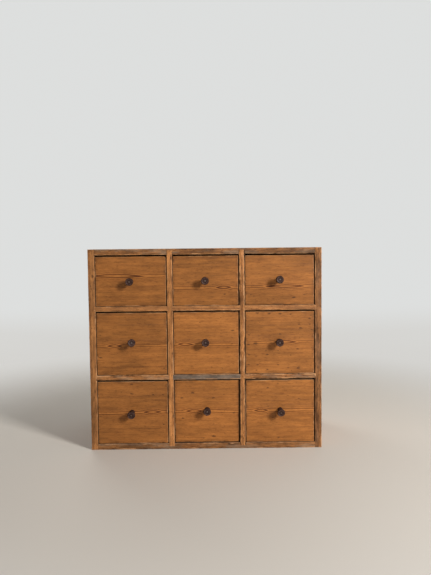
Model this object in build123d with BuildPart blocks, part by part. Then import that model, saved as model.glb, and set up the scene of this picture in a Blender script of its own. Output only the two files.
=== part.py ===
from build123d import *
from math import cos, radians, sin
from typing import NamedTuple
import os

# A pine apothecary cabinet: a carcass with nine compartments, in three columns and three rows, and
# a dovetailed drawer in each. Everything is in millimetres, +Z up, +X to the right, and the front
# faces -Y. The origin is the middle of the carcass's underside.

# ---- Carcass: outer size, boards and compartments
WIDTH = 920.0
DEPTH = 400.0
HEIGHT = 800.0
SIDE_THICKNESS = 27.0
TOP_THICKNESS = 24.0
BOTTOM_THICKNESS = 24.0
DIVIDER_THICKNESS = 22.0
RAIL_THICKNESS = 20.0
RAIL_DEPTH = 62.0
LEFT_OPENING = 283.0  # clear width of the left column
RIGHT_OPENING = 276.5  # clear width of the right column; the centre column takes the rest
TOP_OPENING = 202.0  # clear height of the top row
MIDDLE_OPENING = 254.0  # clear height of the middle row; the bottom row takes the rest
ARRIS = 1.5  # rounding of the boards' long outer edges

# ---- Carcass joints
LAP = 9.0  # how far the top and the bottom reach into the sides
LAP_STOP = 16.0  # how far behind the front edge that lap starts, so that it doesn't show
TOP_HOUSING = 17.0  # how deep the dividers stand in the top
BOTTOM_HOUSING = 12.0
RAIL_HOUSING = 4.0  # how deep the rails' ends stand in the sides and the dividers
RUNNER_WIDTH = 34.0
TONGUE_LENGTH = 8.0  # the runners' tongue, in a groove behind the rail
TONGUE_THICKNESS = 8.0
RUNNER_REAR_GAP = 3.0

# ---- Back: tongued vertical boards in a rebate
BACK_THICKNESS = 12.0
BACK_REBATE = 13.0  # how far the back covers each side's rear edge
BACK_BOARD_COUNT = 7
BACK_BOARD_GAP = 1.2  # shrinkage gap between two boards
BACK_TONGUE_LENGTH = 5.0
BACK_TONGUE_THICKNESS = 4.0
BACK_TONGUE_PLAY = 0.2

# ---- Drawers
FRONT_THICKNESS = 20.0
DRAWER_SIDE = 12.0
DRAWER_BACK = 12.0
DRAWER_BOTTOM = 8.0
BOTTOM_HEIGHT = 10.0  # from the sides' lower edge to the bottom's groove
GROOVE_DEPTH = 5.0
BACK_DROP = 5.0  # how far the drawer's back stays under its sides' upper edge
REAR_GAP = 16.0  # behind a drawer that is flush with the front
GAP_ABOVE = 5.5
GAP_BELOW = 1.0  # under a drawer's front
RUNNING_GAP = 0.3  # between a drawer's sides and their runners
GAP_LEFT = 2.0
GAP_RIGHT = 3.5
FRONT_ARRIS = 1.5  # rounding round a front's face
FRONT_CORNER = 2.5  # radius of a front's corners

# ---- Dovetails, in the drawers' corners
FRONT_LAP = 5.0  # what the front leaves in front of its sockets
TAIL_EDGE = 10.0  # from a board's edge to its first tail
PIN_TIP = 7.0  # a pin at its narrow end
TAIL_SLOPE = 1 / 6
TAIL_PITCH = 62.0  # a drawer has about one tail for this much height

# ---- Drawer stops, behind each front
STOP_WIDTH = 30.0
STOP_DEPTH = 28.0
STOP_HEIGHT = 6.0
STOP_INSET = 36.0  # from the compartment's wall
STOP_PLAY = 0.3

# ---- Knobs, and the screws through them
KNOB_LENGTH = 34.0
KNOB_BASE_RADIUS = 10.5
KNOB_NECK_RADIUS = 9.0
KNOB_NECK_HEIGHT = 9.0
KNOB_HEAD_RADIUS = 15.5
KNOB_HEAD_HEIGHT = 27.0
KNOB_RIM_RADIUS = 13.0
KNOB_DISH = 1.6  # how far the face is hollowed towards its middle
KNOB_SEAT = 0.05  # air between a knob's base and its front
SCREW_RADIUS = 2.0
SCREW_HEAD_RADIUS = 3.6
SCREW_HEAD_HEIGHT = 2.6
SCREW_SLOT = 0.9  # width and depth of the slot
SCREW_BITE = 14.0  # how far the screw goes into the front
SCREW_PLAY = 0.05

# ---- Nails, their heads flush with the wood
NAIL_RADIUS = 1.5
NAIL_HEAD_RADIUS = 3.2
NAIL_HEAD_HEIGHT = 1.2
NAIL_PLAY = 0.05
SIDE_NAIL_LENGTH = 48.0
SIDE_NAIL_COUNT = 4  # through each side into each end of the top and of the bottom
SIDE_NAIL_EDGE = 40.0
BACK_NAIL_LENGTH = 28.0
BACK_NAIL_EDGE = 25.0  # from a back board's edges


class Wear(NamedTuple):
    """How one drawer has aged; it is like the others in everything else."""

    inset: float  # how far its front sits behind the carcass's front edge
    knob_shift: tuple  # its knob's place beside the middle of the front, as (x, z)
    knob_lean: tuple  # degrees that its knob leans to the right and upwards
    corner: float = FRONT_CORNER  # radius of its front's upper right corner


DRAWER_WEAR = {
    "top_left": Wear(1.0, (0.0, 0.0), (-2.0, -2.0), corner=8.0),
    "top_centre": Wear(1.5, (-2.0, 0.0), (0.0, 0.0)),
    "top_right": Wear(1.0, (-3.0, 1.0), (1.5, 2.0)),
    "middle_left": Wear(1.0, (-2.0, 4.0), (11.0, 9.0)),
    "middle_centre": Wear(3.0, (-2.0, 5.0), (-1.0, 1.0)),
    "middle_right": Wear(1.0, (-2.0, 5.0), (-3.0, -3.0)),
    "bottom_left": Wear(1.0, (-3.0, 2.0), (1.0, -8.0)),
    "bottom_centre": Wear(8.0, (1.0, 7.0), (0.0, -2.0)),
    "bottom_right": Wear(1.0, (0.0, 5.0), (1.0, -7.0)),
}

# ---- Places worked out from those sizes
FRONT_Y = -DEPTH / 2
REAR_Y = DEPTH / 2
BACK_Y = REAR_Y - BACK_THICKNESS  # the back boards' inner face, where the inside boards end
RAIL_REAR_Y = FRONT_Y + RAIL_DEPTH
LEFT_WALL_X = -WIDTH / 2 + SIDE_THICKNESS
RIGHT_WALL_X = WIDTH / 2 - SIDE_THICKNESS
LEFT_DIVIDER_X = LEFT_WALL_X + LEFT_OPENING
RIGHT_DIVIDER_X = RIGHT_WALL_X - RIGHT_OPENING - DIVIDER_THICKNESS
CEILING_Z = HEIGHT - TOP_THICKNESS
UPPER_RAIL_Z = CEILING_Z - TOP_OPENING - RAIL_THICKNESS
LOWER_RAIL_Z = UPPER_RAIL_Z - MIDDLE_OPENING - RAIL_THICKNESS
RAIL_ZS = (LOWER_RAIL_Z, UPPER_RAIL_Z)
DIVIDER_LOW_Z = BOTTOM_THICKNESS - BOTTOM_HOUSING
DIVIDER_HIGH_Z = CEILING_Z + TOP_HOUSING
NAIL_ZS = (BOTTOM_THICKNESS / 2, HEIGHT - TOP_THICKNESS / 2)
BACK_SPAN = WIDTH - 2 * (SIDE_THICKNESS - BACK_REBATE)
BACK_BOARD_PITCH = BACK_SPAN / BACK_BOARD_COUNT
BACK_BOARD_XS = [-BACK_SPAN / 2 + BACK_BOARD_PITCH * i for i in range(BACK_BOARD_COUNT)]
DRAWER_LENGTH = DEPTH - BACK_THICKNESS - REAR_GAP
SCREW_BORE = SCREW_RADIUS + SCREW_PLAY

# Each column's clear width and each row's clear height, as (low, high).
COLUMNS = {
    "left": (LEFT_WALL_X, LEFT_DIVIDER_X),
    "centre": (LEFT_DIVIDER_X + DIVIDER_THICKNESS, RIGHT_DIVIDER_X),
    "right": (RIGHT_DIVIDER_X + DIVIDER_THICKNESS, RIGHT_WALL_X),
}
ROWS = {
    "top": (UPPER_RAIL_Z + RAIL_THICKNESS, CEILING_Z),
    "middle": (LOWER_RAIL_Z + RAIL_THICKNESS, UPPER_RAIL_Z),
    "bottom": (BOTTOM_THICKNESS, LOWER_RAIL_Z),
}

os.makedirs("parts", exist_ok=True)


def keep(name, piece):
    """Labels a finished piece and writes it to its own file."""
    piece.label = name
    export_step(piece, "parts/" + name + ".step")


def block(low, high, mode=Mode.ADD):
    """A box between two corners."""
    size = Vector(*high) - Vector(*low)
    with Locations(low):
        Box(size.X, size.Y, size.Z, align=(Align.MIN, Align.MIN, Align.MIN), mode=mode)


def cut_block(low, high):
    """Cuts a box between two corners away."""
    block(low, high, Mode.SUBTRACT)


def area(low, high, mode=Mode.ADD):
    """A rectangle between two corners of a sketch."""
    with Locations(low):
        Rectangle(high[0] - low[0], high[1] - low[1], align=(Align.MIN, Align.MIN), mode=mode)


def spread(low, high, count):
    """That many places spaced evenly from low to high, both ends included."""
    return [low + (high - low) * i / (count - 1) for i in range(count)]


# ---- Nails; the boards that they join take their holes from the same functions
def drive_nails(places, direction, length, mode):
    """Nails whose heads are flush with each place, or their holes when they are subtracted."""
    play = NAIL_PLAY if mode == Mode.SUBTRACT else 0.0
    upright = (Align.CENTER, Align.CENTER, Align.MIN)
    for place in places:
        with Locations(Plane(origin=place, z_dir=direction)):
            Cylinder(NAIL_RADIUS + play, length + play, align=upright, mode=mode)
            Cylinder(
                NAIL_HEAD_RADIUS + play, NAIL_HEAD_HEIGHT + play, align=upright, mode=mode
            )


def side_nails(outer_x, zs, mode):
    """The nails driven inwards from one side's outer face at those heights."""
    ys = spread(FRONT_Y + SIDE_NAIL_EDGE, BACK_Y - SIDE_NAIL_EDGE, SIDE_NAIL_COUNT)
    inwards = (1, 0, 0) if outer_x < 0 else (-1, 0, 0)
    drive_nails([(outer_x, y, z) for z in zs for y in ys], inwards, SIDE_NAIL_LENGTH, mode)


def back_nails(zs, mode):
    """The nails driven forwards through the back boards at those heights, two in each board."""
    edges = (BACK_NAIL_EDGE, BACK_BOARD_PITCH - BACK_NAIL_EDGE)
    xs = [left_x + edge for left_x in BACK_BOARD_XS for edge in edges]
    drive_nails([(x, REAR_Y, z) for z in zs for x in xs], (0, -1, 0), BACK_NAIL_LENGTH, mode)


def build_nails():
    """The nails through the sides and those through the back."""
    with BuildPart() as carcass_nails:
        for outer_x in (-WIDTH / 2, WIDTH / 2):
            side_nails(outer_x, NAIL_ZS, Mode.ADD)
    keep("carcass_nails", carcass_nails.part)
    with BuildPart() as back_board_nails:
        back_nails(NAIL_ZS, Mode.ADD)
    keep("back_nails", back_board_nails.part)


# ---- Carcass boards
def build_side(name, outer_x, wall_x):
    """A side: laps for the top and the bottom, a rebate for the back, housings for the rails."""

    def strip(depth):
        """The low and high x of what lies within that depth behind the wall."""
        return sorted((wall_x, wall_x + (depth if outer_x > 0 else -depth)))

    with BuildPart() as side:
        low_x, high_x = sorted((outer_x, wall_x))
        block((low_x, FRONT_Y, 0), (high_x, REAR_Y, HEIGHT))
        fillet(side.edges().filter_by(Axis.Z).group_by(Axis.Y)[0], ARRIS)
        low_x, high_x = strip(LAP)
        cut_block((low_x, FRONT_Y + LAP_STOP, 0), (high_x, BACK_Y, BOTTOM_THICKNESS))
        cut_block((low_x, FRONT_Y + LAP_STOP, CEILING_Z), (high_x, BACK_Y, HEIGHT))
        low_x, high_x = strip(BACK_REBATE)
        cut_block((low_x, BACK_Y, 0), (high_x, REAR_Y, HEIGHT))
        low_x, high_x = strip(RAIL_HOUSING)
        for z in RAIL_ZS:
            cut_block((low_x, FRONT_Y, z), (high_x, RAIL_REAR_Y, z + RAIL_THICKNESS))
        side_nails(outer_x, NAIL_ZS, Mode.SUBTRACT)
    keep(name, side.part)


def build_board(name, low_z, high_z, outer_z, housing_zs, nail_z):
    """The top or the bottom: a lap at both ends and a housing for each divider."""
    with BuildPart() as board:
        block((LEFT_WALL_X, FRONT_Y, low_z), (RIGHT_WALL_X, BACK_Y, high_z))
        front_edges = board.edges().filter_by(Axis.X).group_by(Axis.Y)[0]
        fillet(front_edges.sort_by_distance((0, FRONT_Y, outer_z))[0], ARRIS)
        block(
            (LEFT_WALL_X - LAP, FRONT_Y + LAP_STOP, low_z),
            (RIGHT_WALL_X + LAP, BACK_Y, high_z),
        )
        for x in (LEFT_DIVIDER_X, RIGHT_DIVIDER_X):
            cut_block(
                (x, FRONT_Y, housing_zs[0]), (x + DIVIDER_THICKNESS, BACK_Y, housing_zs[1])
            )
        for outer_x in (-WIDTH / 2, WIDTH / 2):
            side_nails(outer_x, [nail_z], Mode.SUBTRACT)
        back_nails([nail_z], Mode.SUBTRACT)
    keep(name, board.part)


def build_divider(name, x):
    """A divider, housed in the top and the bottom and notched in both faces for the rails."""
    with BuildPart() as divider:
        block((x, FRONT_Y, DIVIDER_LOW_Z), (x + DIVIDER_THICKNESS, BACK_Y, DIVIDER_HIGH_Z))
        for z in RAIL_ZS:
            for low_x in (x, x + DIVIDER_THICKNESS - RAIL_HOUSING):
                cut_block(
                    (low_x, FRONT_Y, z),
                    (low_x + RAIL_HOUSING, RAIL_REAR_Y, z + RAIL_THICKNESS),
                )
        back_nails(NAIL_ZS, Mode.SUBTRACT)
    keep(name, divider.part)


def build_back_boards():
    """The back: each board has a tongue on its right edge, in a groove of the next one."""
    tongue_low_y = BACK_Y + (BACK_THICKNESS - BACK_TONGUE_THICKNESS) / 2
    tongue_high_y = tongue_low_y + BACK_TONGUE_THICKNESS
    with BuildPart() as back_boards:
        with BuildSketch():
            for left_x in BACK_BOARD_XS:
                gap = 0.0 if left_x == BACK_BOARD_XS[-1] else BACK_BOARD_GAP
                area((left_x, BACK_Y), (left_x + BACK_BOARD_PITCH - gap, REAR_Y))
            for left_x in BACK_BOARD_XS[1:]:
                area(
                    (left_x, tongue_low_y - BACK_TONGUE_PLAY),
                    (left_x + BACK_TONGUE_LENGTH, tongue_high_y + BACK_TONGUE_PLAY),
                    Mode.SUBTRACT,
                )
            for left_x in BACK_BOARD_XS[1:]:
                root_x = left_x - BACK_BOARD_GAP
                area((root_x, tongue_low_y), (root_x + BACK_TONGUE_LENGTH, tongue_high_y))
        extrude(amount=HEIGHT)
        back_nails(NAIL_ZS, Mode.SUBTRACT)
    keep("back_boards", back_boards.part)


# ---- Rails, the runners behind them, and the drawer stops
def tongue_zs(rail_z):
    """The low and high z of the runners' tongue behind a rail."""
    middle = rail_z + RAIL_THICKNESS / 2
    return middle - TONGUE_THICKNESS / 2, middle + TONGUE_THICKNESS / 2


def build_rails(name, columns, z):
    """The rails across those columns at one height, grooved behind for the tongues."""
    groove_low_z, groove_high_z = tongue_zs(z)
    with BuildPart() as rails:
        for column in columns:
            low_x = COLUMNS[column][0] - RAIL_HOUSING
            high_x = COLUMNS[column][1] + RAIL_HOUSING
            block((low_x, FRONT_Y, z), (high_x, RAIL_REAR_Y, z + RAIL_THICKNESS))
            cut_block(
                (low_x, RAIL_REAR_Y - TONGUE_LENGTH, groove_low_z),
                (high_x, RAIL_REAR_Y, groove_high_z),
            )
    keep(name, rails.part)


def build_runners():
    """Two runners for each drawer above a rail, which stand against the compartment's walls."""
    with BuildPart() as runners:
        for z in RAIL_ZS:
            tongue_low_z, tongue_high_z = tongue_zs(z)
            for low_x, high_x in COLUMNS.values():
                for x in (low_x, high_x - RUNNER_WIDTH):
                    inner_x = x + RUNNER_WIDTH
                    block(
                        (x, RAIL_REAR_Y, z),
                        (inner_x, BACK_Y - RUNNER_REAR_GAP, z + RAIL_THICKNESS),
                    )
                    block(
                        (x, RAIL_REAR_Y - TONGUE_LENGTH, tongue_low_z),
                        (inner_x, RAIL_REAR_Y, tongue_high_z),
                    )
    keep("runners", runners.part)


def build_stops():
    """Two blocks behind each drawer's front, where it comes to rest."""
    with BuildPart() as drawer_stops:
        for row, (floor_z, _) in ROWS.items():
            for column, (low_x, high_x) in COLUMNS.items():
                inset = DRAWER_WEAR[row + "_" + column].inset
                stop_y = FRONT_Y + inset + FRONT_THICKNESS + STOP_PLAY
                for x in (low_x + STOP_INSET, high_x - STOP_INSET - STOP_WIDTH):
                    block(
                        (x, stop_y, floor_z),
                        (x + STOP_WIDTH, stop_y + STOP_DEPTH, floor_z + STOP_HEIGHT),
                    )
    keep("drawer_stops", drawer_stops.part)


# ---- Drawers
def tails(low_z, high_z):
    """The tips of the dovetails' tails between two heights, each as (low, high)."""
    low, high = low_z + TAIL_EDGE, high_z - TAIL_EDGE
    count = max(2, round((high - low) / TAIL_PITCH))
    tip = (high - low - (count - 1) * PIN_TIP) / count
    tip_lows = [low + i * (tip + PIN_TIP) for i in range(count)]
    return [(tip_low, tip_low + tip) for tip_low in tip_lows]


def draw_tails(tips, root_y, tip_y):
    """The outlines of those tails, wide at their tips, in a sketch of y and z."""
    narrowing = abs(tip_y - root_y) * TAIL_SLOPE
    for low, high in tips:
        Polygon(
            (root_y, low + narrowing),
            (tip_y, low),
            (tip_y, high),
            (root_y, high - narrowing),
            align=None,
        )


class Drawer:
    """One drawer: the places that its pieces share, and a function for each piece."""

    def __init__(self, column, row):
        self.name = "drawer_" + row + "_" + column
        self.wear = DRAWER_WEAR[row + "_" + column]
        self.low_x = COLUMNS[column][0] + GAP_LEFT
        self.high_x = COLUMNS[column][1] - GAP_RIGHT
        self.side_xs = (self.low_x, self.high_x - DRAWER_SIDE)
        self.groove_low_x = self.low_x + DRAWER_SIDE - GROOVE_DEPTH
        self.groove_high_x = self.high_x - DRAWER_SIDE + GROOVE_DEPTH
        self.face_y = FRONT_Y + self.wear.inset
        self.front_rear_y = self.face_y + FRONT_THICKNESS
        self.rear_y = self.face_y + DRAWER_LENGTH
        self.back_y = self.rear_y - DRAWER_BACK
        self.front_low_z = ROWS[row][0] + GAP_BELOW
        self.side_low_z = ROWS[row][0] + RUNNING_GAP
        self.high_z = ROWS[row][1] - GAP_ABOVE
        self.groove_z = self.side_low_z + BOTTOM_HEIGHT
        self.back_low_z = self.groove_z + DRAWER_BOTTOM
        self.back_high_z = self.high_z - BACK_DROP
        self.front_tails = tails(self.side_low_z, self.high_z)
        self.back_tails = tails(self.back_low_z, self.back_high_z)
        # The knob's axis, and the middle of its base, whose lower rim just clears the front.
        right, up = (radians(angle) for angle in self.wear.knob_lean)
        self.axis = Vector(sin(right) * cos(up), -cos(right) * cos(up), sin(up))
        lean = radians(self.axis.get_angle(Vector(0, -1, 0)))
        self.lift = KNOB_SEAT + KNOB_BASE_RADIUS * sin(lean)
        knob_x = (self.low_x + self.high_x) / 2 + self.wear.knob_shift[0]
        knob_z = (self.front_low_z + self.high_z) / 2 + self.wear.knob_shift[1]
        self.seat = Vector(knob_x, self.face_y, knob_z) + self.axis * self.lift

    def build_front(self):
        """The front: lapped dovetail sockets, the bottom's groove and the screw's hole."""
        upper_right = (self.high_x, self.face_y, self.high_z)
        with BuildPart() as front:
            block(
                (self.low_x, self.face_y, self.front_low_z),
                (self.high_x, self.front_rear_y, self.high_z),
            )
            corners = front.edges().filter_by(Axis.Y).sort_by_distance(upper_right)
            fillet(corners[0], self.wear.corner)
            corners = front.edges().filter_by(Axis.Y).sort_by_distance(upper_right)
            fillet(corners[2:], FRONT_CORNER)
            fillet(front.faces().sort_by(Axis.Y)[0].edges(), FRONT_ARRIS)
            for x in self.side_xs:
                with BuildSketch(Plane.YZ.offset(x)):
                    draw_tails(self.front_tails, self.front_rear_y, self.face_y + FRONT_LAP)
                extrude(amount=DRAWER_SIDE, mode=Mode.SUBTRACT)
            cut_block(
                (self.groove_low_x, self.front_rear_y - GROOVE_DEPTH, self.groove_z),
                (self.groove_high_x, self.front_rear_y, self.back_low_z),
            )
            with Locations(Plane(origin=self.seat, z_dir=-self.axis)):
                Cylinder(
                    SCREW_BORE,
                    self.lift + SCREW_BITE + SCREW_PLAY,
                    align=(Align.CENTER, Align.CENTER, Align.MIN),
                    mode=Mode.SUBTRACT,
                )
        keep(self.name + "_front", front.part)

    def build_sides(self):
        """The two sides: tails at both ends, grooved for the bottom."""
        with BuildPart() as sides:
            for x in self.side_xs:
                with BuildSketch(Plane.YZ.offset(x)):
                    area((self.front_rear_y, self.side_low_z), (self.rear_y, self.high_z))
                    area(
                        (self.back_y, self.back_low_z),
                        (self.rear_y, self.back_high_z),
                        Mode.SUBTRACT,
                    )
                    draw_tails(self.front_tails, self.front_rear_y, self.face_y + FRONT_LAP)
                    draw_tails(self.back_tails, self.back_y, self.rear_y)
                extrude(amount=DRAWER_SIDE)
            for x in (self.groove_low_x, self.side_xs[1]):
                cut_block(
                    (x, self.face_y, self.groove_z),
                    (x + GROOVE_DEPTH, self.rear_y, self.back_low_z),
                )
        keep(self.name + "_sides", sides.part)

    def build_back(self):
        """The back, which stands on the bottom, with a socket for each tail."""
        with BuildPart() as back:
            block(
                (self.low_x, self.back_y, self.back_low_z),
                (self.high_x, self.rear_y, self.back_high_z),
            )
            for x in self.side_xs:
                with BuildSketch(Plane.YZ.offset(x)):
                    draw_tails(self.back_tails, self.back_y, self.rear_y)
                extrude(amount=DRAWER_SIDE, mode=Mode.SUBTRACT)
        keep(self.name + "_back", back.part)

    def build_bottom(self):
        """The bottom, which slides in under the back along its grooves."""
        with BuildPart() as bottom:
            block(
                (self.groove_low_x, self.front_rear_y - GROOVE_DEPTH, self.groove_z),
                (self.groove_high_x, self.rear_y, self.back_low_z),
            )
        keep(self.name + "_bottom", bottom.part)

    def build_knob(self):
        """The turned knob and the slotted screw that holds it, as two solids."""
        across = self.axis.cross(Vector(0, 0, 1)).normalized()
        turning = Plane(origin=self.seat, x_dir=across, z_dir=across.cross(self.axis))
        dish = KNOB_LENGTH - KNOB_DISH
        ledge = dish - SCREW_HEAD_HEIGHT  # the screw's head rests on this
        head_rim = dish - SCREW_SLOT
        with BuildPart() as knob:
            with BuildSketch(turning):
                with BuildLine():
                    Polyline(
                        (KNOB_RIM_RADIUS, KNOB_LENGTH),
                        (SCREW_HEAD_RADIUS + SCREW_PLAY, dish),
                        (SCREW_HEAD_RADIUS + SCREW_PLAY, ledge),
                        (SCREW_BORE, ledge),
                        (SCREW_BORE, 0),
                        (KNOB_BASE_RADIUS, 0),
                    )
                    Spline(
                        (KNOB_BASE_RADIUS, 0),
                        (KNOB_NECK_RADIUS, KNOB_NECK_HEIGHT),
                        (KNOB_HEAD_RADIUS, KNOB_HEAD_HEIGHT),
                        tangents=((-0.3, 1), (0, 1)),
                    )
                    TangentArc(
                        (KNOB_HEAD_RADIUS, KNOB_HEAD_HEIGHT),
                        (KNOB_RIM_RADIUS, KNOB_LENGTH),
                        tangent=(0, 1),
                    )
                make_face()
            revolve(axis=Axis(self.seat, self.axis))
            with BuildSketch(turning):
                with BuildLine():
                    Polyline(
                        (0, dish),
                        (0, -self.lift - SCREW_BITE),
                        (SCREW_RADIUS, -self.lift - SCREW_BITE),
                        (SCREW_RADIUS, ledge + SCREW_PLAY),
                        (SCREW_HEAD_RADIUS, ledge + SCREW_PLAY),
                        (SCREW_HEAD_RADIUS, head_rim),
                    )
                    TangentArc((0, dish), (SCREW_HEAD_RADIUS, head_rim), tangent=(1, 0))
                make_face()
            revolve(axis=Axis(self.seat, self.axis))
            face = Plane(origin=self.seat + self.axis * dish, x_dir=across, z_dir=self.axis)
            with Locations(face):
                Box(2 * SCREW_HEAD_RADIUS, SCREW_SLOT, 2 * SCREW_SLOT, mode=Mode.SUBTRACT)
        keep(self.name + "_knob", knob.part)


build_nails()
build_side("side_left", -WIDTH / 2, LEFT_WALL_X)
build_side("side_right", WIDTH / 2, RIGHT_WALL_X)
build_board(
    "bottom_board", 0, BOTTOM_THICKNESS, 0, (DIVIDER_LOW_Z, BOTTOM_THICKNESS), NAIL_ZS[0]
)
build_board("top_board", CEILING_Z, HEIGHT, HEIGHT, (CEILING_Z, DIVIDER_HIGH_Z), NAIL_ZS[1])
build_divider("divider_left", LEFT_DIVIDER_X)
build_divider("divider_right", RIGHT_DIVIDER_X)
build_back_boards()
build_rails("upper_rails", COLUMNS, UPPER_RAIL_Z)
for column in COLUMNS:
    build_rails("lower_rail_" + column, [column], LOWER_RAIL_Z)
build_runners()
build_stops()
for row in ROWS:
    for column in COLUMNS:
        drawer = Drawer(column, row)
        drawer.build_front()
        drawer.build_sides()
        drawer.build_back()
        drawer.build_bottom()
        drawer.build_knob()
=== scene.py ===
import math
import random
from contextlib import contextmanager
from typing import NamedTuple

import bmesh
import bpy
import numpy as np
from bpy.props import FloatProperty, FloatVectorProperty, PointerProperty
from mathutils import Matrix, Vector


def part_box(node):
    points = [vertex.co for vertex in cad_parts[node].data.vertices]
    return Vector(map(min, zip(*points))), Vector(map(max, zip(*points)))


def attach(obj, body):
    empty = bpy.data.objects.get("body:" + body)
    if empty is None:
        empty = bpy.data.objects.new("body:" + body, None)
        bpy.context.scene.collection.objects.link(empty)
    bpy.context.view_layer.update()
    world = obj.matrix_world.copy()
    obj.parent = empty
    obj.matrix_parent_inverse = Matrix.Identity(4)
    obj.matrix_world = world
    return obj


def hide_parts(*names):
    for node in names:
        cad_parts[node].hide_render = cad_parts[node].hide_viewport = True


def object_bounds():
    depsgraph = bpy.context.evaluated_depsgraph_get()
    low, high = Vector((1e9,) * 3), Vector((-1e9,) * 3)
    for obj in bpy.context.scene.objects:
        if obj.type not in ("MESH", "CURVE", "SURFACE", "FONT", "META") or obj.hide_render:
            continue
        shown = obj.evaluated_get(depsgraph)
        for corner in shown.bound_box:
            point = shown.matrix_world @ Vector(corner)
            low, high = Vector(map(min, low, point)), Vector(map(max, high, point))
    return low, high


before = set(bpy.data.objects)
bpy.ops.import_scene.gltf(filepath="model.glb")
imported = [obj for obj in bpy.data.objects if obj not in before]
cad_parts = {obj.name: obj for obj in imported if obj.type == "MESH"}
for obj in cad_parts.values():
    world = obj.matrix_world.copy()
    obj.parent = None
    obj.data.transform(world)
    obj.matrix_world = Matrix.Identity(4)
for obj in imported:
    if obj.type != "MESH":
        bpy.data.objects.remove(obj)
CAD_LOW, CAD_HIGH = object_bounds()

bl_info = {
    "name": "Apothecary Cabinet",
    "version": (1, 0, 0),
    "blender": (4, 5, 0),
    "location": "View3D > Sidebar > Cabinet",
    "description": "Builds a pine apothecary cabinet with nine drawers, its finishes and a stage",
    "category": "Add Mesh",
}

MM = 0.001
CARCASS = "carcass"
COLUMNS = ("left", "centre", "right")
DRAWERS = tuple(row + "_" + column for row in ("top", "middle", "bottom") for column in COLUMNS)

SAME_PLACE = 1e-6  # points nearer than this are one point
ON_EDGE = 1e-5  # how near a point is to an edge of its block that it lies on
SLIVER = 2e-5  # edges up to this length, which a cut leaves, are closed up
SMOOTH_ANGLE = math.radians(28)  # edges flatter than this are shaded smooth
SHOULDER = 3.6 * MM  # from a board's edge to the first cut across it
RAIL_GROOVE = 8 * MM  # width of the groove behind a rail
FRONT_CHIP = 0.55  # depth of the fronts' dents, where 1 is the depth in the settings
FRONT_WEAR = 0.35  # how far the fronts' edges are rubbed bare
FRONT_HEART = 1.8 * MM  # how far before a front's face its grain's heart line runs

# The carcass's and the drawers' hidden boards, as widths and places in the cabinet.
BACK_BOARD_COUNT = 7
RUNNER_WIDTH = 34 * MM
BOTTOM_BOARD_WIDTH = 127 * MM
ROW_PITCH = 278 * MM  # a little more than a drawer's height, so that each side is one board
FIRST_ROW = 152 * MM  # height of the middle of the lowest row

# The knob's profile from its base to its hollowed face, and on through the screw's hole: each ring
# as its radius and height in mm.
KNOB_RINGS = (
    (10.5, 0.0), (10.45, 0.9), (10.05, 2.2), (9.4, 4.6), (9.05, 7.4), (9.0, 9.4), (9.2, 12.4),
    (9.9, 15.6), (11.0, 18.6), (12.5, 21.4), (13.9, 23.9), (14.95, 26.2), (15.4, 28.0),
    (15.35, 29.8), (14.95, 31.4), (14.3, 32.8), (13.6, 33.6), (13.0, 34.0), (12.2, 33.95),
    (11.6, 33.6), (11.0, 33.2), (9.0, 32.9), (6.4, 32.6), (4.2, 32.45), (3.7, 32.3), (3.65, 29.8),
    (2.05, 29.8), (2.05, 0.0),
)
KNOB_SEAT = 0.05 * MM  # air between a knob's base and its front
KNOB_FACE = 32 * MM  # the height above which a knob's surface is its face
KNOB_RIM = 11.2 * MM  # radius of the paler ring on the face, rubbed most and given a painted highlight
KNOB_RIM_SPREAD = 1.9 * MM
# The screw's profile from its shank under the head to the top of its domed head.
SCREW_RINGS = (
    (2.0, 29.85), (3.6, 29.85), (3.6, 31.3), (3.3, 31.75), (2.6, 32.1), (1.5, 32.3), (0.5, 32.38),
)
SCREW_BITE = 14 * MM  # how far the screw goes into the front
SCREW_SLOT = 0.9 * MM  # width and depth of the slot

# The floor, the backdrop and the bend between them, in metres.
FLOOR_WIDTH = 14.0
FLOOR_DEPTH = 9.0
WALL_HEIGHT = 4.5
BEND_RADIUS = 0.5
WINDOW_PLACE = (2.9, -2.8, 2.15)
BACK_LIGHT_PLACE = (-1.3, 2.1, 1.9)
BACK_LIGHT_SIZE = 1.4
LAMP_TARGET = Vector((0, -0.2, 0.42))
LAMP_COLOUR = (1.0, 0.98, 0.95)
SKY_COLOUR = (1.0, 0.985, 0.96, 1.0)
CAMERA_PLACE = (0.0357, -2.1657, 0.7445)
CAMERA_YAW = -0.00292  # radians to the left of the cabinet's square view
CAMERA_PITCH = 0.05037  # radians downwards
CAMERA_ROLL = -0.01042


class Wood(NamedTuple):
    """What a board's material reads, besides where its surface lies in the board."""

    seed: float  # picks its part of the pattern
    tone: float  # lighter above 0, darker below
    stain: float  # share of small dark marks
    wear: float  # how far its edges are rubbed bare
    contrast: float = 1.0  # how much its grain and dark patches stand out at the front
    scuffed: float = 0.0  # how much of it has lost its wax
    flame_length: float = 1.0  # from the middle of its grain's flame to the tips


class FrameBoard(NamedTuple):
    """One board of the frame: its wood, and how its front edges have been knocked."""

    wood: Wood
    chip: float  # depth of its dents, where 1 is the depth in the settings
    threshold: float = 0.5  # lower where the larger dents are closer together


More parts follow.
